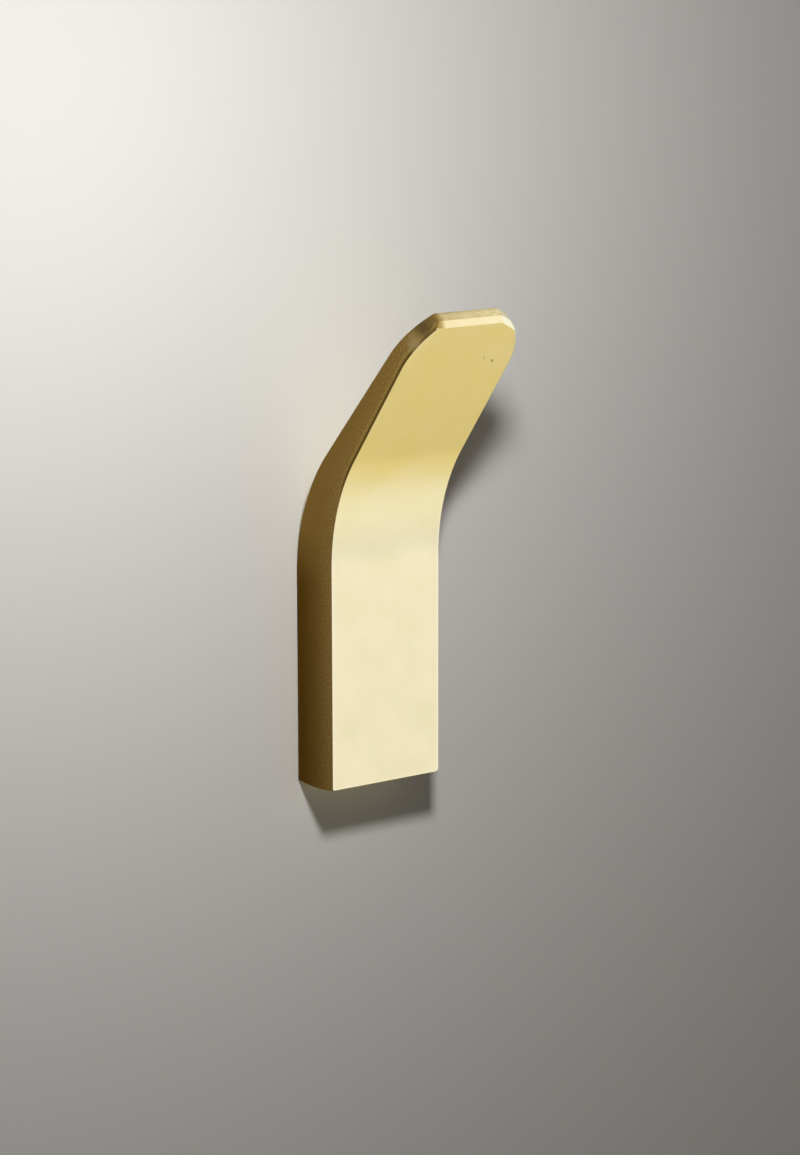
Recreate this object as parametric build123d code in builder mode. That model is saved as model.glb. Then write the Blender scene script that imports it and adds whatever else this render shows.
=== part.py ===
from build123d import *
from math import acos, atan2, cos, degrees, hypot, radians, sin, sqrt
import os

# Wall coat hook: one thick brass bar that stands flat on the wall, bends outward near its
# middle and thins to a rounded, truncated tip. A hidden hanger bolt in its back holds it.
# Millimetres, +Z up, front towards -Y. The origin is on the bolt's axis, at the wall's face.

# Plate against the wall, with the bolt's height above its lowest point. Its lower end is
# dressed to a slight crown.
bar_width = 20.0
plate_thickness = 9.0
fixing_height = 17.0
end_crown = 0.45

# Front face: height at which its upright run ends, then the bend, then the straight arm
front_upright = 34.4
front_bend_radius = 27.0
front_lean = 38.0
arm_run = 27.0

# Back face: it starts to bend lower down, and its straight run ends at the tip's back edge
back_upright = 31.9
back_bend_radius = 28.0

# Tip: square to the arm's front. A flat cuts off its round end. The tip is dressed by hand, so
# the flat reaches further to the left of the middle than to the right, and a facet is filed off
# its right corner: where it starts on the flat, and its slope from the flat in degrees.
tip_thickness = 2.6
tip_round_radius = 12.0
tip_flat_left = 6.5
tip_flat_right = 5.6
facet_start = 4.75
facet_slope = 30.0

# Band filed along the front edges of the tip's flat and facet: how far it comes down the
# front, and how far it goes back across the tip
tip_band_height = 0.6
tip_band_depth = 0.9

# Broken edges
left_bottom_corner_radius = 0.5
right_bottom_corner_radius = 0.6
tip_corner_radius = 0.5
front_edge_radius = 0.15
back_edge_radius = 0.25

# Hanger bolt, and the blind hole that it screws into
bolt_diameter = 5.0
bolt_clearance = 0.05
hole_depth = 6.8
hole_mouth_chamfer = 0.6
bolt_end_gap = 0.3
bolt_end_chamfer = 0.6
bolt_neck_diameter = 3.8
bolt_neck_length = 1.8
wall_thread_length = 22.0
point_length = 7.0
point_diameter = 0.7

plate_bottom = -fixing_height
front_bend_z = plate_bottom + front_upright
back_bend_z = plate_bottom + back_upright
half_width = bar_width / 2

# The tip's front edge, worked out along the front face
lean = radians(front_lean)
tip_front_y = -plate_thickness - front_bend_radius * (1 - cos(lean)) - arm_run * sin(lean)
tip_front_z = front_bend_z + front_bend_radius * sin(lean) + arm_run * cos(lean)

# The tip's back edge, and the lean at which the back's straight run leaves its bend
tip_back_y = tip_front_y + tip_thickness * cos(lean)
tip_back_z = tip_front_z + tip_thickness * sin(lean)
from_centre_y = tip_back_y + back_bend_radius
from_centre_z = tip_back_z - back_bend_z
back_lean = degrees(
    atan2(from_centre_z, from_centre_y)
    - acos(back_bend_radius / hypot(from_centre_y, from_centre_z))
)

# The arm's front face seen square on: X across, Y towards the tip, Z out of the front
arm_front = Plane(
    origin=(0, tip_front_y, tip_front_z),
    x_dir=(1, 0, 0),
    z_dir=(0, -cos(lean), -sin(lean)),
)
# The arm's back face, and the wall's face that the plate lies on, both facing backwards
arm_back = Plane(
    origin=(0, tip_back_y, tip_back_z),
    x_dir=(1, 0, 0),
    z_dir=(0, cos(radians(back_lean)), sin(radians(back_lean))),
)
wall_face = Plane(origin=(0, 0, 0), x_dir=(1, 0, 0), z_dir=(0, 1, 0))


def rim(run):
    """Edges around a run of faces, without the smooth joints between them."""
    run_edges = [edge for face in run for edge in face.edges()]
    return ShapeList(edge for edge in run_edges if run_edges.count(edge) == 1)


def bend_faces():
    """The bar's front bend and back bend, its two widest curves."""
    return faces().filter_by(GeomType.CYLINDER).sort_by(SortBy.RADIUS)[-2:].sort_by(Axis.Y)


def front_rim():
    """Edges around the front of the bar as it now stands."""
    plate = faces().filter_by(Plane.XZ).sort_by(Axis.Y)[0]
    arm = faces().filter_by(arm_front).sort_by(Axis.Y)[0]
    return rim([plate, bend_faces()[0], arm])


def back_rim():
    """Edges around the back of the bar as it now stands."""
    plate = faces().filter_by(Plane.XZ).sort_by(Axis.Y)[-1]
    arm = faces().filter_by(arm_back).sort_by(Axis.Y)[-1]
    return rim([plate, bend_faces()[1], arm])


with BuildPart() as hook_body:
    # Side view of the bar, drawn once round from the wall's lower edge
    with BuildSketch(Plane.YZ) as side_view:
        with BuildLine():
            bottom = ThreePointArc(
                (0, plate_bottom + end_crown),
                (-plate_thickness / 2, plate_bottom),
                (-plate_thickness, plate_bottom + end_crown),
            )
            front = Line(bottom @ 1, (-plate_thickness, front_bend_z))
            front_bend = JernArc(front @ 1, front % 1, front_bend_radius, front_lean)
            front_run = Line(front_bend @ 1, (tip_front_y, tip_front_z))
            tip = Line(front_run @ 1, (tip_back_y, tip_back_z))
            back = Line(bottom @ 0, (0, back_bend_z))
            back_bend = JernArc(back @ 1, back % 1, back_bend_radius, back_lean)
            back_run = Line(back_bend @ 1, tip @ 1)
        make_face()
    extrude(amount=half_width, both=True)

    # Corners cut from the tip, square to the arm's front: what its flat and its rounds leave
    # outside them. Each round is tangent to its side of the bar.
    with BuildSketch(arm_front) as tip_corners:
        for side, flat in ((1, tip_flat_right), (-1, tip_flat_left)):
            centre_x = half_width - tip_round_radius
            centre_y = -sqrt(tip_round_radius**2 - (flat - centre_x) ** 2)
            beyond = side * (half_width + tip_thickness)
            with BuildLine():
                round_end = RadiusArc(
                    (side * half_width, centre_y),
                    (side * flat, 0),
                    -side * tip_round_radius,
                )
                Polyline(
                    round_end @ 1,
                    (side * flat, tip_thickness),
                    (beyond, tip_thickness),
                    (beyond, centre_y),
                    round_end @ 0,
                )
            make_face()
    extrude(amount=plate_thickness, both=True, mode=Mode.SUBTRACT)

    # The corners of the lower end, and the two at the ends of the tip's flat
    left_corner, right_corner = edges().group_by(Axis.Z)[0].sort_by(Axis.X)
    fillet(left_corner, left_bottom_corner_radius)
    fillet(right_corner, right_bottom_corner_radius)
    tip_corner_edges = edges().filter_by(Axis((0, 0, 0), arm_front.z_dir)).sort_by(Axis.Z)[-2:]
    fillet(tip_corner_edges, tip_corner_radius)

    # All edges round the front, then all round the back
    fillet(front_rim(), front_edge_radius)
    fillet(back_rim(), back_edge_radius)

    # The facet, then the band filed along the front edges of the flat and of the facet
    slope = radians(facet_slope)
    off_facet = arm_front.x_dir * sin(slope) + arm_front.y_dir * cos(slope)
    flat_end = arm_front.origin + arm_front.x_dir * facet_start
    split(bisect_by=Plane(origin=flat_end, z_dir=off_facet), keep=Keep.BOTTOM)
    for outward in (arm_front.y_dir, off_facet):
        band = Plane(
            origin=flat_end - outward * tip_band_height,
            z_dir=outward * tip_band_depth + arm_front.z_dir * tip_band_height,
        )
        split(bisect_by=band, keep=Keep.BOTTOM)

    # Blind hole for the bolt, with a chamfered mouth
    with Locations(wall_face):
        Hole(bolt_diameter / 2 + bolt_clearance, hole_depth)
    hole_mouth = edges().filter_by(GeomType.CIRCLE).filter_by(wall_face).sort_by(Axis.Y)[-1]
    chamfer(hole_mouth, hole_mouth_chamfer)

hook_body.part.label = "hook_body"


with BuildPart() as hanger_bolt:
    # Half of its long section, turned round its axis: the end in the hook, a neck, the end in
    # the wall, and the point. Its threads are drawn at their outer diameter.
    bolt_radius = bolt_diameter / 2
    inner_end = bolt_end_gap - hole_depth
    outer_end = wall_thread_length + point_length
    with BuildSketch(Plane.YZ) as half_section:
        with BuildLine():
            Polyline(
                (inner_end, 0),
                (inner_end, bolt_radius - bolt_end_chamfer),
                (inner_end + bolt_end_chamfer, bolt_radius),
                (-bolt_neck_length, bolt_radius),
                (-bolt_neck_length, bolt_neck_diameter / 2),
                (0, bolt_neck_diameter / 2),
                (0, bolt_radius),
                (wall_thread_length, bolt_radius),
                (outer_end, point_diameter / 2),
                (outer_end, 0),
                close=True,
            )
        make_face()
    revolve(axis=Axis.Y)

hanger_bolt.part.label = "hanger_bolt"


os.makedirs("parts", exist_ok=True)
export_step(hook_body.part, "parts/hook_body.step")
export_step(hanger_bolt.part, "parts/hanger_bolt.step")
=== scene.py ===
from math import acos, atan2, cos, hypot, pi, radians, sin, sqrt, tan

import bmesh
import bpy
from mathutils import Matrix, Vector


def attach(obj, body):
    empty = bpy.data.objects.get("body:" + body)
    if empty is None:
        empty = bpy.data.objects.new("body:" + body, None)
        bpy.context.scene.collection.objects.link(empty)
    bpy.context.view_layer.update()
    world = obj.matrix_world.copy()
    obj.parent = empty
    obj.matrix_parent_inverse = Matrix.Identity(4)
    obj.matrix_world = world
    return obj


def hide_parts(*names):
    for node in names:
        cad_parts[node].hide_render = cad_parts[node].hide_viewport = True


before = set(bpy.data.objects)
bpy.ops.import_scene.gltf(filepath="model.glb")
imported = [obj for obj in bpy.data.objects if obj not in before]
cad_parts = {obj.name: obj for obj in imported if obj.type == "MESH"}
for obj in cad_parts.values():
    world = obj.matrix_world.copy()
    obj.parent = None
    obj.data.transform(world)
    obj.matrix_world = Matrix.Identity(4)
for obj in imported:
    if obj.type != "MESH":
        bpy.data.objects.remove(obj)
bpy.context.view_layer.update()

# Wall coat hook in satin brass, held by a hidden steel hanger bolt.
# Lengths are in millimetres unless a comment says metres, and MM turns them into metres.
MM = 0.001

# Camera: the point it looks at, its distance from there, and its angles in degrees.
# It stands to the left of the hook's front and a little above it.
CAMERA_AIM = Vector((-1.94, -15.13, 16.02))
CAMERA_DISTANCE = 501.6
CAMERA_AZIMUTH = 36.83
CAMERA_ELEVATION = 11.28
CAMERA_ROLL = -0.105
FOCAL_PIXELS = 3400
IMAGE_HEIGHT_PIXELS = 1155
SENSOR_HEIGHT = 36.0

# The bar, as in the solid model
BAR_WIDTH = 20.0
PLATE_THICKNESS = 9.0
PLATE_BOTTOM = -17.0
FRONT_UPRIGHT = 34.4
FRONT_BEND_RADIUS = 27.0
FRONT_LEAN = radians(38.0)
ARM_RUN = 27.0
BACK_UPRIGHT = 31.9
BACK_BEND_RADIUS = 28.0
TIP_THICKNESS = 2.6
TIP_ROUND_RADIUS = 12.0
TIP_FLAT_LEFT = 6.5
TIP_FLAT_RIGHT = 5.6
RIGHT_BOTTOM_CORNER_RADIUS = 0.6

# Finer than in the solid model: the lower end's uneven crown, by its rise at the front and by
# where it is lowest, as a share of the way to the wall, and the sharper corners
END_RISE_AT_FRONT = 0.43
END_LOWEST_SHARE = 0.545
TIP_CORNER_RADIUS = 0.3
LEFT_BOTTOM_CORNER_RADIUS = 0.3

# Facet filed off the tip's right corner, and the band filed along the front edges of the flat
# and of that facet
FACET_START = 4.75
FACET_SLOPE = radians(30.0)
BAND_HEIGHT = 0.6
BAND_DEPTH = 0.9

# Broken edges
FRONT_EDGE = 0.15
BACK_EDGE = 0.25

# The bolt and its blind hole
BOLT_RADIUS = 2.5
BOLT_INNER_END = -6.5
BOLT_END_CHAMFER = 0.6
NECK_RADIUS = 1.9
NECK_LENGTH = 1.8
WALL_THREAD_LENGTH = 22.0
POINT_LENGTH = 7.0
POINT_RADIUS = 0.35
HOLE_RADIUS = 2.55
HOLE_DEPTH = 6.8
HOLE_CHAMFER = 0.6

# The bolt's threads: pitch, core as a share of the crest's radius, and how steep the ridge is.
# A ridge would rise past its crest by the overshoot, and is cut off level there.
MACHINE_PITCH = 0.8
MACHINE_CORE_SHARE = 0.82
MACHINE_STEEPNESS = 2.2
WOOD_PITCH = 2.4
WOOD_CORE_SHARE = 0.66
WOOD_STEEPNESS = 3.6
RIDGE_OVERSHOOT = 1.15

# Steps of the hook's mesh: across it, over its edges, and up its outline
COLUMNS = 20
ROUND_STEPS = 5
WALL_STEPS = 6
BOTTOM_CORNER_STEPS = 5
BEND_STEPS = 24
ARM_STEPS = 12
SHOULDER_STEPS = 4
TIP_ROUND_STEPS = 20
TIP_CORNER_STEPS = 4

# The arm's even rows end this far short of where a round of half the width would start, and the
# hole is cut in a square that reaches this many cells from its axis
ROOM_BELOW_ROUND = 2.0
HOLE_CELLS = 4

# Steps of the bolt's mesh: round it, and along its neck, which they don't quite fill
BOLT_STEPS_AROUND = 32
NECK_STEPS = 3
NECK_MARGIN = 0.01

BEND_RUN = FRONT_BEND_RADIUS * FRONT_LEAN
FRONT_RUN = FRONT_UPRIGHT + BEND_RUN + ARM_RUN
BACK_BEND_Z = PLATE_BOTTOM + BACK_UPRIGHT
HALF_WIDTH = BAR_WIDTH / 2

# Dull skin on the sides, partly patina and partly painted dark reflection: how far an edge faces
# sideways where it starts and where it is full
LEFT_SKIN_TURN = (0.45, 0.65)
RIGHT_SKIN_TURN = (0.9, 0.98)

# Wear on the front and the left edge: across, up the front and behind it, then its half size
WEAR_COLOUR = (0.30, 0.22, 0.08)
WEAR_MARKS = (
    ((6.3, 71.1, 0.0), (0.2, 0.24, 0.5)),
    ((6.55, 70.85, 0.0), (0.2, 0.24, 0.5)),
    ((4.61, 71.7, 0.0), (0.08, 0.45, 0.5)),
    ((-10.0, 8.73, 0.2), (0.25, 0.35, 0.5)),
)

# Painted reflections on the left of the tip: a dark patch, with a tan one below it
TIP_DARK_REFLECTION = ((-8.1, 77.6, 1.8), (2.4, 2.3, 3.2))
TIP_TAN_REFLECTION = ((-9.1, 75.4, 0.9), (1.8, 1.7, 1.9))

# Colours of the bright brass. A pair is the two that a noise mixes.
GOLD_PAIR = ((0.85, 0.75, 0.445), (0.885, 0.785, 0.495))
# Painted highlight along the plate's front edges
PAINTED_RIM_HIGHLIGHT = (0.92, 0.84, 0.58)
SAWN_PAIR = ((0.80, 0.62, 0.26), (0.94, 0.78, 0.41))
# Painted dark reflection at the left end of the tip's flat and band
PAINTED_CORNER_REFLECTION = (0.44, 0.32, 0.10)
EDGE_ON_TINT = (1.0, 0.86, 0.6)

# Colours of the dull skin, partly painted dark reflection. The pair is for the arm and for the
# plate's side by the wall, whose darker brown is painted shade.
SKIN_AND_WALL_SHADE_PAIR = ((0.24, 0.145, 0.034), (0.10, 0.046, 0.002))
GRAIN_BROWN = (0.46, 0.34, 0.15)
# Painted highlight and painted dark reflection: lines along the arm's front edge
PAINTED_EDGE_HIGHLIGHT = (0.42, 0.29, 0.08)
PAINTED_EDGE_DARK = (0.13, 0.085, 0.022)
# Colours of the painted reflections on the left of the tip
PAINTED_DARK_REFLECTION = (0.13, 0.088, 0.03)
PAINTED_TAN_REFLECTION = (0.36, 0.27, 0.12)

# Where each part of the brass's look starts and where it is full: a distance from the front's
# edge, a run up the front, a place across, or a depth behind the front
RIM_HIGHLIGHT_FROM_EDGE = (0.45, 0.0)
RIM_HIGHLIGHT_RUN = (44.0, 36.0)
SAWN_RUN = (FRONT_RUN - 0.25, FRONT_RUN - 0.1)
SAWN_DEPTH = (BAND_DEPTH - 0.05, BAND_DEPTH + 0.05)
CORNER_REFLECTION_ACROSS = (-5.5, -6.4)
CORNER_REFLECTION_RUN = (FRONT_RUN - 0.65, FRONT_RUN - 0.55)
WALL_SHADE_RUN = (39.0, 31.0)
GRAIN_DEPTH = (4.0, 0.3)
ARM_LINES_RUN = (44.0, 50.0)
EDGE_HIGHLIGHT_DEPTH = (1.05, 0.75)
DARK_LINE_DEPTH = (0.55, 0.35)

# The same for the painted shade by the wall, from the wall's face, in metres
WALL_SHADE_Y = (-8.5 * MM, -1.5 * MM)

# How much a part of the look shows, from its least to its most
WHOLE = (0.0, 1.0)
GRAIN_SHOWN = (0.08, 0.55)
EDGE_HIGHLIGHT_SHOWN = (0.35, 0.9)

# Noises: features to the millimetre, and the levels between which they run from none to full
BLOTCHES_PER_MM = 0.16
GRAIN_PER_MM = 3.5
SAW_MARKS_PER_MM = 2.2
BRUSHING_PER_MM = 9.0
RAGGED_PER_MM = 1.1
ZINC_CLOUDS_PER_MM = 0.9
GOLD_LEVELS = (0.35, 0.65)
SAWN_LEVELS = (0.4, 0.6)
GRAIN_LEVELS = (0.45, 0.62)
ROUGHNESS_LEVELS = (0.3, 0.7)
ZINC_LEVELS = (0.3, 0.7)

# How much closer features lie across the bar, along it and behind its front
EVENLY = (1.0, 1.0, 1.0)
SAW_MARKS_CLOSER = (1.0, 1.0, 2.5)
BRUSHING_CLOSER = (1.0, 0.25, 1.0)

# Roughness of the brass, what its dull skin adds, and its bump
BRASS_ROUGHNESS = (0.30, 0.36)
SKIN_ROUGHER = 0.14
BRUSHING_HEIGHT = 0.12
BUMP_STRENGTH = 0.25
BUMP_DISTANCE = 0.02

# Zinc plating
ZINC_PAIR = ((0.60, 0.60, 0.58), (0.70, 0.70, 0.70))
ZINC_ROUGHNESS = (0.26, 0.38)

# Sockets of Blender's Mix node that hold colours: its two inputs and its output
MIX_FIRST = 6
MIX_SECOND = 7
MIX_RESULT = 2

# Stage: how far the wall and the floor reach and how high the floor lies, in metres. The wall
# stands a gap behind the plate and is open inside the plate's outline, by the inset.
WALL_REACH = 2.0
FLOOR_REACH = 3.0
FLOOR_HEIGHT = -0.6
WALL_GAP = 0.05
OPENING_INSET = 1.0
WALL_COLOUR = (0.80, 0.785, 0.75)
WALL_ROUGHNESS = 0.9
FLOOR_COLOUR = (0.80, 0.77, 0.70)
FLOOR_ROUGHNESS = 0.8
FLOOR_SEEN_COLOUR = (1.0, 0.97, 0.9)
FLOOR_SEEN_LEVEL = 0.45

# World: its colour, and its levels as light and as a background
WORLD_COLOUR = (1.0, 0.97, 0.92)
WORLD_LIGHT_LEVEL = 0.11
WORLD_SEEN_LEVEL = 0.95

# Power for each square metre of a lamp at level 1. A mirror shows such a lamp at pi / 4 of white.
LAMP_POWER_PER_AREA = pi**2 / 4

# Key lamp: its place, size, level and colour
KEY_PLACE = (-70.0, -130.0, 116.0)
KEY_SIZE = 22.0
KEY_LEVEL = 183.0
KEY_COLOUR = (1.0, 1.0, 1.0)

# Panels: their distance and width in metres, and how far they stand to the right for each metre
# away, where the camera's mirrored view goes
PANEL_REACH = 0.45
PANEL_WIDE = 0.5
PANEL_SIDEWAYS = 0.727


def front_at(run):
    """Y, Z and lean of the bar's front, at a run up it from its lower end."""
    lean = min(max(run - FRONT_UPRIGHT, 0.0) / FRONT_BEND_RADIUS, FRONT_LEAN)
    upright = min(run, FRONT_UPRIGHT)
    straight = max(run - FRONT_UPRIGHT - BEND_RUN, 0.0)
    y = -PLATE_THICKNESS - FRONT_BEND_RADIUS * (1 - cos(lean)) - straight * sin(lean)
    z = PLATE_BOTTOM + upright + FRONT_BEND_RADIUS * sin(lean) + straight * cos(lean)
    return y, z, lean


TIP_FRONT_Y, TIP_FRONT_Z, _ = front_at(FRONT_RUN)
TIP_BACK_Y = TIP_FRONT_Y + TIP_THICKNESS * cos(FRONT_LEAN)
TIP_BACK_Z = TIP_FRONT_Z + TIP_THICKNESS * sin(FRONT_LEAN)
BACK_REACH = hypot(TIP_BACK_Y + BACK_BEND_RADIUS, TIP_BACK_Z - BACK_BEND_Z)
BACK_LEAN = (
    atan2(TIP_BACK_Z - BACK_BEND_Z, TIP_BACK_Y + BACK_BEND_RADIUS)
    - acos(BACK_BEND_RADIUS / BACK_REACH)
)


def thickness_at(run):
    """Depth of the bar's back behind its front, square to the front."""
    y, z, lean = front_at(run)
    to_upright = -y / cos(lean)
    if z + to_upright * sin(lean) <= BACK_BEND_Z:
        return to_upright
    square_y = (TIP_BACK_Y - y) * cos(BACK_LEAN)
    square_z = (TIP_BACK_Z - z) * sin(BACK_LEAN)
    to_straight = (square_y + square_z) / cos(BACK_LEAN - lean)
    if z + to_straight * sin(lean) >= BACK_BEND_Z + BACK_BEND_RADIUS * sin(BACK_LEAN):
        return to_straight
    from_y = y + BACK_BEND_RADIUS
    from_z = z - BACK_BEND_Z
    along = from_y * cos(lean) + from_z * sin(lean)
    return sqrt(along**2 - from_y**2 - from_z**2 + BACK_BEND_RADIUS**2) - along


def bar_point(x, run, depth):
    """Place, in metres, of a point given across the bar, up its front and behind that front."""
    crown = END_RISE_AT_FRONT * (depth / PLATE_THICKNESS / END_LOWEST_SHARE - 1) ** 2
    run += crown * max(0.0, 1 - run / FRONT_UPRIGHT)
    y, z, lean = front_at(run)
    return Vector((x, y + depth * cos(lean), z + depth * sin(lean))) * MM


def spread(start, end, steps):
    """Evenly spaced values after the start, up to the end."""
    return [start + (end - start) * step / steps for step in range(1, steps + 1)]


def share_between(value, start, full):
    """How far a value lies from a start to a full value, from 0 to 1."""
    return min(max((value - start) / (full - start), 0.0), 1.0)


def arc(side, centre_x, centre_run, radius, start, end, steps):
    """Points on an arc of one side of the outline, with the outward direction at each."""
    points = []
    for turn in spread(start, end, steps):
        x = centre_x + radius * cos(turn)
        run = centre_run + radius * sin(turn)
        points.append((side * x, run, side * cos(turn), sin(turn)))
    return points


def outline_side(side, flat, bottom_corner):
    """One side of the bar's outline, from its lower edge to the tip's flat.

    Each point is across, up the front, and the outward direction in those two.
    """
    corner_x = HALF_WIDTH - bottom_corner
    points = [(side * corner_x, 0.0, 0.0, -1.0)]
    points += arc(
        side, corner_x, bottom_corner, bottom_corner, -pi / 2, 0.0, BOTTOM_CORNER_STEPS
    )

    # The round end's centre, and the corner between it and the flat
    centre_x = HALF_WIDTH - TIP_ROUND_RADIUS
    centre_run = FRONT_RUN - sqrt(TIP_ROUND_RADIUS**2 - (flat - centre_x) ** 2)
    corner_run = FRONT_RUN - TIP_CORNER_RADIUS
    corner_rise = corner_run - centre_run
    corner_across = sqrt((TIP_ROUND_RADIUS - TIP_CORNER_RADIUS) ** 2 - corner_rise**2)
    corner_turn = atan2(corner_rise, corner_across)

    # Rows a millimetre apart lie evenly about the bolt's axis, and wider ones lie above them
    even_run = -2 * PLATE_BOTTOM
    upright = spread(0.0, even_run, int(even_run)) + [FRONT_UPRIGHT]
    bend = spread(FRONT_UPRIGHT, FRONT_UPRIGHT + BEND_RUN, BEND_STEPS)
    arm = spread(bend[-1], FRONT_RUN - HALF_WIDTH - ROOM_BELOW_ROUND, ARM_STEPS)
    shoulder = spread(arm[-1], centre_run, SHOULDER_STEPS)
    for run in upright + bend + arm + shoulder:
        points.append((side * HALF_WIDTH, run, side, 0.0))
    points += arc(
        side, centre_x, centre_run, TIP_ROUND_RADIUS, 0.0, corner_turn, TIP_ROUND_STEPS
    )
    points += arc(
        side, centre_x + corner_across, corner_run, TIP_CORNER_RADIUS,
        corner_turn, pi / 2, TIP_CORNER_STEPS,
    )
    return points


def section():
    """Steps over the bar's edge from its front to its back.

    Each step is the inset from the outline, a depth, and the share of the thickness added to it.
    """
    steps = []
    for step in range(ROUND_STEPS + 1):
        turn = pi / 2 * step / ROUND_STEPS
        steps.append((FRONT_EDGE * (1 - sin(turn)), FRONT_EDGE * (1 - cos(turn)), 0.0))
    for share in spread(0.0, 1.0, WALL_STEPS)[:-1]:
        steps.append((0.0, FRONT_EDGE * (1 - share) - BACK_EDGE * share, share))
    for step in range(ROUND_STEPS, -1, -1):
        turn = pi / 2 * step / ROUND_STEPS
        steps.append((BACK_EDGE * (1 - sin(turn)), BACK_EDGE * (cos(turn) - 1), 1.0))
    return steps


def mesh_object(name, mesh_data, material):
    """New object at the origin, smooth shaded, riding on the hook's one body."""
    mesh = bpy.data.meshes.new(name)
    bmesh.ops.recalc_face_normals(mesh_data, faces=mesh_data.faces)
    for face in mesh_data.faces:
        face.smooth = True
    mesh_data.to_mesh(mesh)
    mesh_data.free()
    piece = bpy.data.objects.new(name, mesh)
    bpy.context.scene.collection.objects.link(piece)
    mesh.materials.append(material)
    weighted = piece.modifiers.new("even_shading", "WEIGHTED_NORMAL")
    weighted.keep_sharp = True
    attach(piece, "root")
    return piece


def make_hook(material):
    """The brass bar: front, back, and the rounded edge between them all round its outline."""
    left = outline_side(-1, TIP_FLAT_LEFT, LEFT_BOTTOM_CORNER_RADIUS)
    right = outline_side(1, TIP_FLAT_RIGHT, RIGHT_BOTTOM_CORNER_RADIUS)
    last_row = len(left) - 1
    steps = section()
    last_step = len(steps) - 1

    data = bmesh.new()
    bar_place = data.verts.layers.float_vector.new("bar_place")
    patina_and_dark_reflection = data.verts.layers.float.new("patina_and_dark_reflection")
    from_edge = data.verts.layers.float.new("from_edge")

    def skin_vertex(row, column, step):
        """Vertex at a row up the bar, a column across it, and a step over its edge."""
        share_across = column / COLUMNS
        inset, depth, share = steps[step]
        (left_x, left_run), (right_x, right_run) = (
            (x - out_x * inset, run - out_run * inset)
            for x, run, out_x, out_run in (left[row], right[row])
        )
        x = left_x + (right_x - left_x) * share_across
        run = left_run + (right_run - left_run) * share_across
        depth += share * thickness_at(run)
        vertex = data.verts.new(bar_point(x, run, depth))
        vertex[bar_place] = Vector((x, run, depth))
        vertex[from_edge] = min(x - left_x, right_x - x, run, FRONT_RUN - run)
        return vertex

    def face_grid(step):
        """Front or back of the bar, as rows of vertices."""
        grid = [
            [skin_vertex(row, column, step) for column in range(COLUMNS + 1)]
            for row in range(last_row + 1)
        ]
        for lower, upper in zip(grid, grid[1:]):
            for column in range(COLUMNS):
                corners = lower[column], lower[column + 1], upper[column + 1], upper[column]
                data.faces.new(corners)
        return grid

    front = face_grid(0)
    back = face_grid(last_step)

    # Round the outline, from the lower left corner: the lower edge, right side, tip, left side
    round_outline = [(0, column) for column in range(COLUMNS)]
    round_outline += [(row, COLUMNS) for row in range(last_row)]
    round_outline += [(last_row, column) for column in range(COLUMNS, 0, -1)]
    round_outline += [(row, 0) for row in range(last_row, 0, -1)]
    rings = [[front[row][column] for row, column in round_outline]]
    for step in range(1, last_step):
        rings.append([skin_vertex(row, column, step) for row, column in round_outline])
    rings.append([back[row][column] for row, column in round_outline])
    for ring, deeper in zip(rings, rings[1:]):
        for index in range(len(ring)):
            after = (index + 1) % len(ring)
            data.faces.new((ring[index], deeper[index], deeper[after], ring[after]))

    # Where the sides keep their dull skin, partly patina and partly painted dark reflection
    for ring in rings[2:-1]:
        for (row, column), vertex in zip(round_outline, ring):
            if column == 0:
                vertex[patina_and_dark_reflection] = left_patina_and_dark_reflection(-left[row][2], left[row][3])
            elif column == COLUMNS:
                vertex[patina_and_dark_reflection] = right_patina_and_dark_reflection(right[row][2])

    cut_hole(data, back)
    dress_tip(data)
    return mesh_object("brass_bar", data, material)


def left_patina_and_dark_reflection(out_x, out_run):
    """Share of dull skin, partly painted dark reflection, on the left side, which keeps it up to
    the tip's corner.
    """
    return 1.0 if out_run <= 0 else share_between(out_x, *LEFT_SKIN_TURN)


def right_patina_and_dark_reflection(out_x):
    """Share of dull skin, partly painted dark reflection, on the right side, whose round stays
    bright gold.
    """
    return share_between(out_x, *RIGHT_SKIN_TURN)


def dress_tip(data):
    """File the facet off the tip's right corner, then the band along both front edges."""
    across = Vector((1, 0, 0))
    up = Vector((0, -sin(FRONT_LEAN), cos(FRONT_LEAN)))
    out = Vector((0, -cos(FRONT_LEAN), -sin(FRONT_LEAN)))
    off_facet = across * sin(FACET_SLOPE) + up * cos(FACET_SLOPE)
    flat_end = Vector((FACET_START, TIP_FRONT_Y, TIP_FRONT_Z))
    file_flat(data, flat_end, off_facet)
    for outward in (up, off_facet):
        off_band = outward * BAND_DEPTH + out * BAND_HEIGHT
        file_flat(data, flat_end - outward * BAND_HEIGHT, off_band)


def file_flat(data, point, direction):
    """Cut away what lies past a plane, and close the cut with one flat face."""
    cut = bmesh.ops.bisect_plane(
        data,
        geom=data.verts[:] + data.edges[:] + data.faces[:],
        plane_co=point * MM,
        plane_no=direction,
        clear_outer=True,
    )
    patina_and_dark_reflection = data.verts.layers.float["patina_and_dark_reflection"]
    edges = [item for item in cut["geom_cut"] if isinstance(item, bmesh.types.BMEdge)]
    bmesh.ops.contextual_create(data, geom=edges)
    for edge in edges:
        edge.smooth = False
        for vertex in edge.verts:
            vertex[patina_and_dark_reflection] = 0.0


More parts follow.
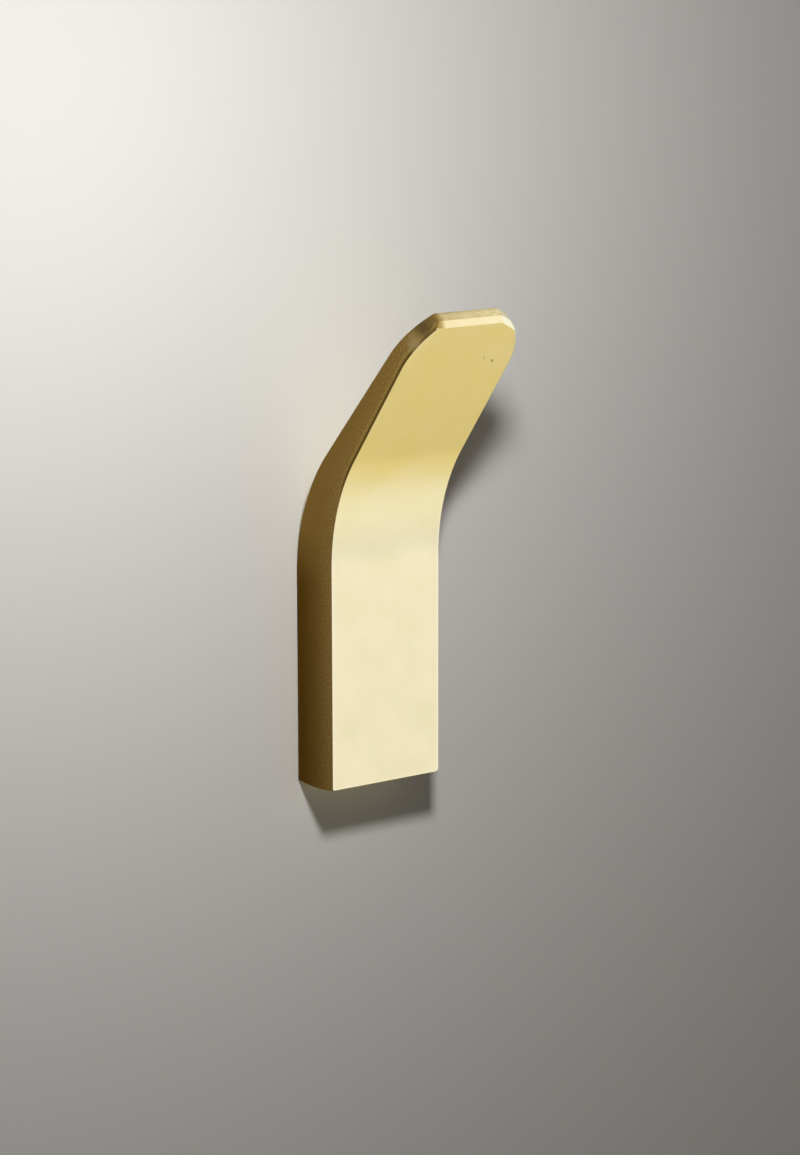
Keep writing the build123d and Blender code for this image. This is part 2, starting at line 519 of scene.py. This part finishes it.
def cut_hole(data, back):
    """Open the back round the bolt's axis: a chamfered mouth, the bore, and its flat end."""
    middle_row = min(range(len(back)), key=lambda row: abs(back[row][0].co.z))
    rows = range(middle_row - HOLE_CELLS, middle_row + HOLE_CELLS + 1)
    columns = range(COLUMNS // 2 - HOLE_CELLS, COLUMNS // 2 + HOLE_CELLS + 1)
    square = [back[rows[0]][column] for column in columns[:-1]]
    square += [back[row][columns[-1]] for row in rows[:-1]]
    square += [back[rows[-1]][column] for column in reversed(columns[1:])]
    square += [back[row][columns[0]] for row in reversed(rows[1:])]
    inner = [back[row][column] for row in rows[1:-1] for column in columns[1:-1]]
    bmesh.ops.delete(data, geom=inner, context="VERTS")

    # Each circle starts below and to the left of the axis, where the square does
    circles = (
        (HOLE_RADIUS + HOLE_CHAMFER, 0.0),
        (HOLE_RADIUS, -HOLE_CHAMFER),
        (HOLE_RADIUS, -HOLE_DEPTH),
    )
    rings = [square]
    for radius, y in circles:
        ring = []
        for index in range(len(square)):
            turn = 2 * pi * index / len(square) - 3 * pi / 4
            place = Vector((radius * cos(turn), y, radius * sin(turn)))
            ring.append(data.verts.new(place * MM))
        rings.append(ring)
    for ring, deeper in zip(rings, rings[1:]):
        for index in range(len(ring)):
            after = (index + 1) % len(ring)
            data.faces.new((ring[index], ring[after], deeper[after], deeper[index]))
    data.faces.new(rings[-1])
    for ring in rings[1:]:
        for index, vertex in enumerate(ring):
            edge = data.edges.get((vertex, ring[(index + 1) % len(ring)]))
            edge.smooth = False


def add(tree, kind, inputs=None, **settings):
    """Add a node to a tree, with its settings, and its inputs as values or linked sockets."""
    node = tree.nodes.new(kind)
    for name, value in settings.items():
        setattr(node, name, value)
    for name, value in (inputs or {}).items():
        if isinstance(value, bpy.types.NodeSocket):
            tree.links.new(value, node.inputs[name])
        else:
            node.inputs[name].default_value = value
    return node


def noise(tree, place, scale, detail, closer=EVENLY):
    """Value of a noise at a place, with its features closer together along some axes."""
    scaled = add(tree, "ShaderNodeVectorMath", {0: place, 1: closer}, operation="MULTIPLY")
    texture = add(
        tree,
        "ShaderNodeTexNoise",
        {"Vector": scaled.outputs[0], "Scale": scale, "Detail": detail},
    )
    return texture.outputs["Fac"]


def rescale(tree, value, levels, result=WHOLE):
    """Value moved from one pair of levels to another and kept between them."""
    inputs = {
        "Value": value,
        "From Min": levels[0],
        "From Max": levels[1],
        "To Min": result[0],
        "To Max": result[1],
    }
    return add(tree, "ShaderNodeMapRange", inputs).outputs["Result"]


def blend(tree, share, first, second):
    """Colour between two, which are colours or sockets."""
    node = add(tree, "ShaderNodeMix", {0: share}, data_type="RGBA")
    for index, value in ((MIX_FIRST, first), (MIX_SECOND, second)):
        if isinstance(value, bpy.types.NodeSocket):
            tree.links.new(value, node.inputs[index])
        else:
            node.inputs[index].default_value = (*value, 1.0)
    return node.outputs[MIX_RESULT]


def calculate(tree, operation, first, second):
    """Result of a math operation on two values."""
    return add(tree, "ShaderNodeMath", {0: first, 1: second}, operation=operation).outputs[0]


def new_material(name):
    """New node material, with its tree and its Principled shader."""
    material = bpy.data.materials.new(name)
    material.use_nodes = True
    return material, material.node_tree, material.node_tree.nodes["Principled BSDF"]


def mark(tree, place, centre, size, solid=0.5, ragged=0.0):
    """Share of a mark at a place on the bar, with its half size each way.

    It is full up to the solid share of its size, and its outline is moved by the ragged share.
    """
    moved = add(tree, "ShaderNodeVectorMath", {0: place, 1: centre}, operation="SUBTRACT")
    scaled = add(tree, "ShaderNodeVectorMath", {0: moved.outputs[0], 1: size}, operation="DIVIDE")
    length = add(tree, "ShaderNodeVectorMath", {0: scaled.outputs[0]}, operation="LENGTH")
    reach = length.outputs["Value"]
    if ragged:
        uneven = noise(tree, place, RAGGED_PER_MM, detail=4.0)
        reach = calculate(tree, "ADD", reach, calculate(tree, "MULTIPLY", uneven, 2 * ragged))
    return rescale(tree, reach, (1.0 + ragged, solid + ragged))


def brass():
    """Satin brass: golden front and back, dull brown sides with a cast grain, partly painted dark
    reflection, small wear marks, and painted highlights, shade and reflections at edges and the
    tip.
    """
    material, tree, shader = new_material("satin_brass")
    place = add(tree, "ShaderNodeAttribute", attribute_name="bar_place").outputs["Vector"]
    patina_and_dark_reflection = add(tree, "ShaderNodeAttribute", attribute_name="patina_and_dark_reflection").outputs["Fac"]
    from_edge = add(tree, "ShaderNodeAttribute", attribute_name="from_edge").outputs["Fac"]
    apart = add(tree, "ShaderNodeSeparateXYZ", {0: place})
    across, run, behind_front = (apart.outputs[axis] for axis in "XYZ")
    object_place = add(tree, "ShaderNodeTexCoord").outputs["Object"]
    from_wall = add(tree, "ShaderNodeSeparateXYZ", {0: object_place}).outputs["Y"]

    blotches = noise(tree, place, BLOTCHES_PER_MM, detail=3.0)
    gold = blend(tree, rescale(tree, blotches, GOLD_LEVELS), *GOLD_PAIR)
    for centre, size in WEAR_MARKS:
        gold = blend(tree, mark(tree, place, centre, size), gold, WEAR_COLOUR)

    # Painted highlight: the plate's front is brighter along its edges
    rim_highlight_by_edge = rescale(tree, from_edge, RIM_HIGHLIGHT_FROM_EDGE)
    painted_rim_highlight = calculate(tree, "MULTIPLY", rim_highlight_by_edge, rescale(tree, run, RIM_HIGHLIGHT_RUN))
    gold = blend(tree, painted_rim_highlight, gold, PAINTED_RIM_HIGHLIGHT)

    # The tip's end is sawn, with a grain of its own
    behind_band = rescale(tree, behind_front, SAWN_DEPTH)
    on_end = calculate(tree, "MULTIPLY", rescale(tree, run, SAWN_RUN), behind_band)
    saw_marks = noise(tree, place, SAW_MARKS_PER_MM, detail=4.0, closer=SAW_MARKS_CLOSER)
    end_gold = blend(tree, rescale(tree, saw_marks, SAWN_LEVELS), *SAWN_PAIR)
    gold = blend(tree, on_end, gold, end_gold)

    # Painted dark reflection: the left end of that flat and of its band is duller and darker, as
    # on a rounder corner
    to_left = rescale(tree, across, CORNER_REFLECTION_ACROSS)
    painted_corner_reflection = calculate(tree, "MULTIPLY", to_left, rescale(tree, run, CORNER_REFLECTION_RUN))
    gold = blend(tree, painted_corner_reflection, gold, PAINTED_CORNER_REFLECTION)

    # Painted shade: the plate's sides darken towards the wall, where the wall shades them
    wall_shade_by_depth = rescale(tree, from_wall, WALL_SHADE_Y)
    painted_wall_shade = calculate(tree, "MULTIPLY", wall_shade_by_depth, rescale(tree, run, WALL_SHADE_RUN))
    skin_and_dark_reflection = blend(tree, painted_wall_shade, *SKIN_AND_WALL_SHADE_PAIR)
    grain = noise(tree, place, GRAIN_PER_MM, detail=4.0)
    speckle = rescale(tree, grain, GRAIN_LEVELS)
    # The grain is real, and its lighter specks show most beside the front as a painted lighter
    # reflection
    grain_and_front_sheen = rescale(tree, behind_front, GRAIN_DEPTH, GRAIN_SHOWN)
    skin_and_dark_reflection = blend(tree, calculate(tree, "MULTIPLY", speckle, grain_and_front_sheen), skin_and_dark_reflection, GRAIN_BROWN)

    # Along the arm a painted dark reflection runs as a line beside the front edge, and a painted
    # highlight line behind it
    on_arm = rescale(tree, run, ARM_LINES_RUN)
    edge_highlight_depth = rescale(tree, behind_front, EDGE_HIGHLIGHT_DEPTH)
    edge_highlight_here = rescale(tree, speckle, WHOLE, EDGE_HIGHLIGHT_SHOWN)
    in_highlight_line = calculate(tree, "MULTIPLY", edge_highlight_depth, edge_highlight_here)
    skin_and_dark_reflection = blend(tree, calculate(tree, "MULTIPLY", in_highlight_line, on_arm), skin_and_dark_reflection, PAINTED_EDGE_HIGHLIGHT)
    line_depth = rescale(tree, behind_front, DARK_LINE_DEPTH)
    skin_and_dark_reflection = blend(tree, calculate(tree, "MULTIPLY", line_depth, on_arm), skin_and_dark_reflection, PAINTED_EDGE_DARK)

    # Painted reflections on the left of the tip: a dark patch and a tan one
    dark_reflection_share = mark(tree, place, *TIP_DARK_REFLECTION, solid=0.2, ragged=0.5)
    skin_and_dark_reflection = blend(tree, dark_reflection_share, skin_and_dark_reflection, PAINTED_DARK_REFLECTION)
    tan_reflection_share = mark(tree, place, *TIP_TAN_REFLECTION, solid=0.1, ragged=0.6)
    skin_and_dark_reflection = blend(tree, tan_reflection_share, skin_and_dark_reflection, PAINTED_TAN_REFLECTION)

    # The sides show the dull skin, partly patina and partly painted dark reflection
    tree.links.new(blend(tree, patina_and_dark_reflection, gold, skin_and_dark_reflection), shader.inputs["Base Color"])
    shader.inputs["Metallic"].default_value = 1.0
    shader.inputs["Specular Tint"].default_value = (*EDGE_ON_TINT, 1.0)

    satin = rescale(tree, blotches, ROUGHNESS_LEVELS, BRASS_ROUGHNESS)
    rougher = calculate(tree, "MULTIPLY", patina_and_dark_reflection, SKIN_ROUGHER)
    tree.links.new(calculate(tree, "ADD", satin, rougher), shader.inputs["Roughness"])

    brushing = noise(tree, place, BRUSHING_PER_MM, detail=3.0, closer=BRUSHING_CLOSER)
    brushing_height = calculate(tree, "MULTIPLY", brushing, BRUSHING_HEIGHT)
    grain_height = calculate(tree, "MULTIPLY", grain, patina_and_dark_reflection)
    bump = add(tree, "ShaderNodeBump", {
        "Height": calculate(tree, "ADD", brushing_height, grain_height),
        "Strength": BUMP_STRENGTH,
        "Distance": BUMP_DISTANCE * MM,
    })
    tree.links.new(bump.outputs["Normal"], shader.inputs["Normal"])
    return material


def steel():
    """Bright zinc plating on the bolt."""
    material, tree, shader = new_material("bolt_steel")
    place = add(tree, "ShaderNodeTexCoord").outputs["Object"]
    clouds = noise(tree, place, ZINC_CLOUDS_PER_MM / MM, detail=3.0)
    cloud = rescale(tree, clouds, ZINC_LEVELS)
    tree.links.new(blend(tree, cloud, *ZINC_PAIR), shader.inputs["Base Color"])
    tree.links.new(rescale(tree, cloud, WHOLE, ZINC_ROUGHNESS), shader.inputs["Roughness"])
    shader.inputs["Metallic"].default_value = 1.0
    return material


def bolt_radius_at(y, turn):
    """Radius of the bolt at a distance along its axis and an angle round it."""
    if -NECK_LENGTH < y < 0:
        return NECK_RADIUS
    if y < 0:
        pitch, steepness = MACHINE_PITCH, MACHINE_STEEPNESS
        crest = min(BOLT_RADIUS, BOLT_RADIUS - BOLT_END_CHAMFER + (y - BOLT_INNER_END))
        core = MACHINE_CORE_SHARE * BOLT_RADIUS
    else:
        pitch, steepness = WOOD_PITCH, WOOD_STEEPNESS
        to_point = max(y - WALL_THREAD_LENGTH, 0.0) / POINT_LENGTH
        crest = BOLT_RADIUS + (POINT_RADIUS - BOLT_RADIUS) * to_point
        core = WOOD_CORE_SHARE * crest
    phase = (y / pitch - turn / (2 * pi)) % 1.0
    ridge = max(0.0, 1 - abs(phase - 0.5) * steepness)
    return min(crest, core + (crest - core) * min(1.0, ridge * RIDGE_OVERSHOOT))


def make_bolt(material):
    """The hanger bolt: machine thread, neck, wood-screw thread and point, as one helical grid."""
    around = BOLT_STEPS_AROUND
    inner_steps = int((-NECK_LENGTH - BOLT_INNER_END) / MACHINE_PITCH * around)
    stations = [BOLT_INNER_END + MACHINE_PITCH / around * step for step in range(inner_steps + 1)]
    stations += spread(-NECK_LENGTH + NECK_MARGIN, -NECK_MARGIN, NECK_STEPS)
    steps = int((WALL_THREAD_LENGTH + POINT_LENGTH) / WOOD_PITCH * around)
    stations += [WOOD_PITCH / around * step for step in range(steps + 1)]
    data = bmesh.new()
    rows = []
    for y in stations:
        row = []
        for index in range(around):
            turn = 2 * pi * index / around
            radius = bolt_radius_at(y, turn)
            place = Vector((radius * sin(turn), y, radius * cos(turn)))
            row.append(data.verts.new(place * MM))
        rows.append(row)
    for index in range(around):
        after = (index + 1) % around
        data.faces.new((rows[0][index], rows[1][after], rows[0][after]))
        data.faces.new((rows[-2][index], rows[-1][index], rows[-1][after]))
        for lower, middle, upper in zip(rows, rows[1:], rows[2:]):
            data.faces.new((lower[index], middle[index], upper[after], middle[after]))
    data.faces.new(rows[0])
    data.faces.new(rows[-1])
    return mesh_object("threaded_bolt", data, material)


def add_camera():
    """Camera at the photograph's viewing angle."""
    azimuth = radians(CAMERA_AZIMUTH)
    elevation = radians(CAMERA_ELEVATION)
    forward = Vector((
        sin(azimuth) * cos(elevation), cos(azimuth) * cos(elevation), -sin(elevation),
    ))
    right = Vector((cos(azimuth), -sin(azimuth), 0.0))
    up = right.cross(forward)
    turned = Matrix((right, up, -forward)).transposed().to_4x4()
    turned = turned @ Matrix.Rotation(radians(CAMERA_ROLL), 4, "Z")
    turned.translation = (CAMERA_AIM - forward * CAMERA_DISTANCE) * MM
    lens = bpy.data.cameras.new("camera")
    lens.sensor_fit = "VERTICAL"
    lens.sensor_height = SENSOR_HEIGHT
    lens.lens = FOCAL_PIXELS / IMAGE_HEIGHT_PIXELS * SENSOR_HEIGHT
    camera = bpy.data.objects.new("camera", lens)
    camera.matrix_world = turned
    bpy.context.scene.collection.objects.link(camera)
    bpy.context.scene.camera = camera


def add_lamp(name, lamp_place, turn, wide, high, level, colour, lights_wall=False):
    """Rectangular lamp, with its place and sizes in metres and its level of power by area."""
    lamp = bpy.data.lights.new(name, "AREA")
    lamp.shape = "RECTANGLE"
    lamp.size = wide
    lamp.size_y = high
    lamp.energy = level * LAMP_POWER_PER_AREA * wide * high
    lamp.color = colour
    softbox = bpy.data.objects.new(name, lamp)
    softbox.location = lamp_place
    softbox.rotation_euler = turn
    softbox.visible_camera = False
    softbox.visible_diffuse = lights_wall
    bpy.context.scene.collection.objects.link(softbox)


def add_key():
    """Small lamp close to the wall, up to the hook's left, so that its shadow keeps near it."""
    lamp_place = Vector(KEY_PLACE) * MM
    turn = lamp_place.to_track_quat("Z", "Y").to_euler()
    size = KEY_SIZE * MM
    add_lamp("key", lamp_place, turn, size, size, KEY_LEVEL, KEY_COLOUR, lights_wall=True)


def add_panel(name, low, high, level, colour):
    """Panel that only the metal sees, between two angles in degrees below the hook's front.

    The panels lie round one line across the hook, so those with an angle in common join there.
    """
    middle = radians((low + high) / 2)
    panel_high = 2 * PANEL_REACH * tan(radians(high - low) / 2)
    panel_x = PANEL_REACH * PANEL_SIDEWAYS
    panel_place = (panel_x, -PANEL_REACH * cos(middle), -PANEL_REACH * sin(middle))
    add_lamp(name, panel_place, (pi / 2 + middle, 0, 0), PANEL_WIDE, panel_high, level, colour)


def flat_stage(name, corners, quads, material):
    """Stage surface from its corners, in metres, and its quads."""
    mesh = bpy.data.meshes.new(name)
    mesh.from_pydata(corners, [], quads)
    mesh.materials.append(material)
    surface = bpy.data.objects.new(name, mesh)
    bpy.context.scene.collection.objects.link(surface)


def matt_paint(name, colour, roughness):
    """New material without gloss, with its tree and its Principled shader."""
    material, tree, shader = new_material(name)
    shader.inputs["Base Color"].default_value = (*colour, 1.0)
    shader.inputs["Roughness"].default_value = roughness
    shader.inputs["Specular IOR Level"].default_value = 0.0
    return material, tree, shader


def show_instead(tree, shader, share, other):
    """Show another shader in place of a material's own, by a share."""
    shown = add(tree, "ShaderNodeMixShader", {
        0: share, 1: shader.outputs[0], 2: other.outputs[0],
    })
    tree.links.new(shown.outputs[0], tree.nodes["Material Output"].inputs["Surface"])


def wall_paint():
    """Pale matt wall, seen only from its front, so that views from behind show the hook."""
    material, tree, shader = matt_paint("pale_wall", WALL_COLOUR, WALL_ROUGHNESS)
    behind = add(tree, "ShaderNodeNewGeometry").outputs["Backfacing"]
    show_instead(tree, shader, behind, add(tree, "ShaderNodeBsdfTransparent"))
    return material


def seen_directly(tree):
    """1 for what the camera, or a reflection of the background, sees straight."""
    rays = add(tree, "ShaderNodeLightPath").outputs
    mirrored = calculate(tree, "MAXIMUM", rays["Is Glossy Ray"], rays["Is Transmission Ray"])
    return calculate(tree, "MAXIMUM", rays["Is Camera Ray"], mirrored)


def floor_paint():
    """Pale floor, well below the camera's view."""
    material, tree, shader = matt_paint("pale_floor", FLOOR_COLOUR, FLOOR_ROUGHNESS)
    pale = add(tree, "ShaderNodeEmission", {
        "Color": (*FLOOR_SEEN_COLOUR, 1.0), "Strength": FLOOR_SEEN_LEVEL,
    })
    show_instead(tree, shader, seen_directly(tree), pale)
    return material


def add_stage():
    """Wall at the hook's back, open behind its plate, and a floor well below it."""
    hole_x = (HALF_WIDTH - OPENING_INSET) * MM
    hole_low = (PLATE_BOTTOM + OPENING_INSET) * MM
    hole_high = (BACK_BEND_Z - OPENING_INSET) * MM
    outer = [
        (-WALL_REACH, FLOOR_HEIGHT),
        (WALL_REACH, FLOOR_HEIGHT),
        (WALL_REACH, WALL_REACH),
        (-WALL_REACH, WALL_REACH),
    ]
    inner = [(-hole_x, hole_low), (hole_x, hole_low), (hole_x, hole_high), (-hole_x, hole_high)]
    corners = [(x, WALL_GAP * MM, z) for x, z in outer + inner]
    quads = [(side, (side + 1) % 4, 4 + (side + 1) % 4, 4 + side) for side in range(4)]
    flat_stage("wall", corners, quads, wall_paint())
    plan = [(-1, -1), (1, -1), (1, 1), (-1, 1)]
    floor_corners = [(x * FLOOR_REACH, y * FLOOR_REACH, FLOOR_HEIGHT) for x, y in plan]
    flat_stage("floor", floor_corners, [(0, 1, 2, 3)], floor_paint())


def add_world():
    """Plain soft light all round, and a pale background in views and in the metal."""
    world = bpy.data.worlds.new("studio")
    bpy.context.scene.world = world
    world.use_nodes = True
    tree = world.node_tree
    levels = (WORLD_LIGHT_LEVEL, WORLD_SEEN_LEVEL)
    strength = rescale(tree, seen_directly(tree), WHOLE, levels)
    background = tree.nodes["Background"]
    background.inputs["Color"].default_value = (*WORLD_COLOUR, 1.0)
    tree.links.new(strength, background.inputs["Strength"])


add_camera()
hook = make_hook(brass())
bolt = make_bolt(steel())
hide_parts("hook_body")
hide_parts("hanger_bolt")

add_stage()
add_key()
add_panel("cool_panel", low=0.0, high=28.0, level=0.82, colour=(0.65, 0.73, 1.0))
add_panel("plain_panel", low=28.0, high=62.0, level=0.86, colour=(0.93, 0.96, 1.0))
add_panel("upper_warm_panel", low=62.0, high=80.0, level=0.56, colour=(1.0, 0.84, 0.12))
add_panel("lower_warm_panel", low=80.0, high=125.0, level=0.90, colour=(1.0, 0.81, 0.08))
add_panel("band_panel", low=-35.0, high=-12.0, level=0.22, colour=(1.0, 0.90, 0.80))
add_panel("top_panel", low=-110.0, high=-60.0, level=0.29, colour=(1.0, 0.84, 0.34))
add_lamp(
    "right_card",
    lamp_place=(0.05, -0.03, 0.07),
    turn=(0, pi / 2, 0),
    wide=0.1,
    high=0.06,
    level=1.2,
    colour=(0.45, 0.6, 1.0),
)
add_world()
bpy.context.scene.view_settings.view_transform = "Standard"
